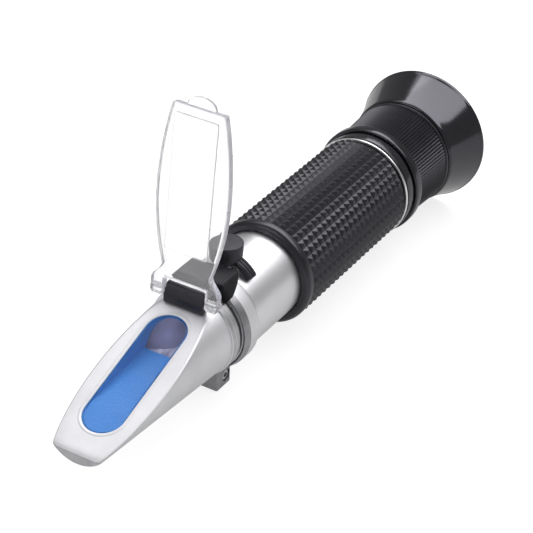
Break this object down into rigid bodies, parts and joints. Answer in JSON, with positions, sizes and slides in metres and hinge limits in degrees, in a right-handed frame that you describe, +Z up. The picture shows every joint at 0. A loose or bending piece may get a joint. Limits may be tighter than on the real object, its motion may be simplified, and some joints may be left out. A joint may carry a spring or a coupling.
{
  "type": "handheld refractometer",
  "caption": "Handheld optical refractometer: sloping prism nose, hinged clear daylight plate, capped calibration screw, clamp collar with foot, rubber grip and focusing eyepiece.",
  "frame": {"origin": "under the middle of the instrument's length, on the level of the eyecup's rim and the foot", "axes": "+X along the barrel towards the prism nose, +Z up, square to the hinge pin"},
  "size_m": [0.168, 0.0384, 0.0814],
  "materials": {
    "satin_aluminium": "satin",
    "dark_anodised": "black anodised",
    "polished_trim": "polished",
    "steel": "turned",
    "brass": "turned",
    "black_rubber": "moulded",
    "gloss_black": "gloss",
    "blue_plastic": "moulded",
    "clear_acrylic": "clear",
    "clear_glass": "polished"
  },
  "bodies": {
    "instrument": {"barrel": "satin_aluminium", "base_ring": "gloss_black", "bimetal_strip": "brass", "calibration_bush": "steel", "collar": "satin_aluminium", "collar_screw": "steel", "exit_stop": "dark_anodised", "grip_sleeve": "black_rubber", "hinge_block": "gloss_black", "hinge_pin": "steel", "hinge_screw_left": "steel", "hinge_screw_right": "steel", "key_screw": "steel", "objective_cell": "dark_anodised", "objective_lens": "clear_glass", "objective_retainer": "dark_anodised", "prism": "clear_glass", "prism_housing": "satin_aluminium", "prism_liner": "blue_plastic", "reticle": "clear_glass", "reticle_cell": "dark_anodised", "reticle_retainer": "dark_anodised", "return_spring": "steel", "saddle_pad": "black_rubber", "seal_ring": "black_rubber", "strip_anchor": "dark_anodised", "trim_ring": "polished_trim"},
    "plate": {"daylight_plate": "clear_acrylic"},
    "cap": {"screw_cap": "black_rubber", "cap_tab": "black_rubber"},
    "adjuster": {"calibration_screw": "steel"},
    "eyepiece": {"focus_sleeve": "dark_anodised", "eye_lens": "clear_glass", "field_lens": "clear_glass", "lens_spacer": "dark_anodised", "eye_retainer": "dark_anodised"},
    "focus": {"focus_ring": "black_rubber", "sleeve_clip": "steel", "eyecup": "gloss_black"}
  },
  "joints": [
    {"name": "plate_hinge", "type": "hinge", "parent": "instrument", "child": "plate", "pos_m": [0.03946, 0, 0.03181], "axis": [0, 1, 0], "range_deg": [0, 115]},
    {"name": "cap_lift", "type": "slide", "parent": "instrument", "child": "cap", "axis": [0, 0, 1], "range_m": [0, 0.009]},
    {"name": "calibration_turn", "type": "hinge", "parent": "instrument", "child": "adjuster", "pos_m": [0.0218, 0, 0.0325], "axis": [0, 0, 1], "range_deg": [-179, 179]},
    {"name": "focus_travel", "type": "slide", "parent": "instrument", "child": "eyepiece", "axis": [-1, 0, 0], "range_m": [0, 0.004]},
    {"name": "focus_turn", "type": "hinge", "parent": "eyepiece", "child": "focus", "pos_m": [-0.06, 0, 0.0192], "axis": [-1, 0, 0], "range_deg": [0, 300]}
  ],
  "couplings": [
    {"joint": "focus_travel", "follows": "focus_turn", "m_per_rad": 0.000763}
  ]
}
